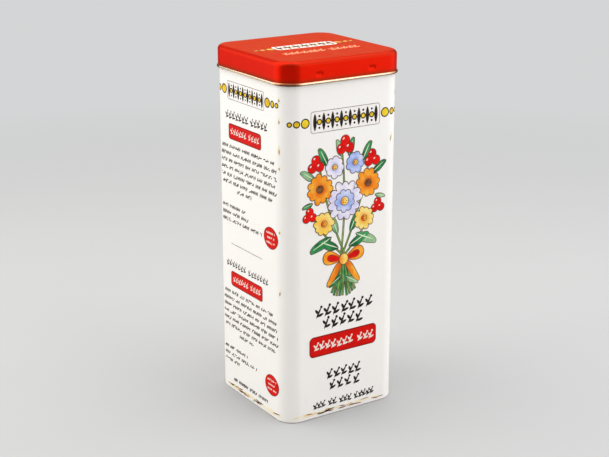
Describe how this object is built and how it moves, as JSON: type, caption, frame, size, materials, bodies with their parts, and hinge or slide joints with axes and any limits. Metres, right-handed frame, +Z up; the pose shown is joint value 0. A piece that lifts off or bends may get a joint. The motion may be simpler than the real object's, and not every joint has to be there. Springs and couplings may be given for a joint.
{
  "type": "tea tin",
  "caption": "Tall square tea tin with rounded corners and a slip lid with a rolled edge, shut and standing upright.",
  "frame": {"origin": "on the floor under the middle of the tin", "axes": "+Z up through the lid, -Y out of the front panel with the picture, -X out of the side panel with the small print"},
  "size_m": [0.0674, 0.0674, 0.1755],
  "materials": {
    "white_lacquer": "white lacquered and printed tinplate",
    "red_lacquer": "glossy red lacquered tinplate with a bare rolled edge",
    "bare_tinplate": "bare bright tinplate"
  },
  "bodies": {
    "root": {"tin_body": "white_lacquer", "lid": "red_lacquer", "base_plate": "bare_tinplate"}
  },
  "joints": []
}
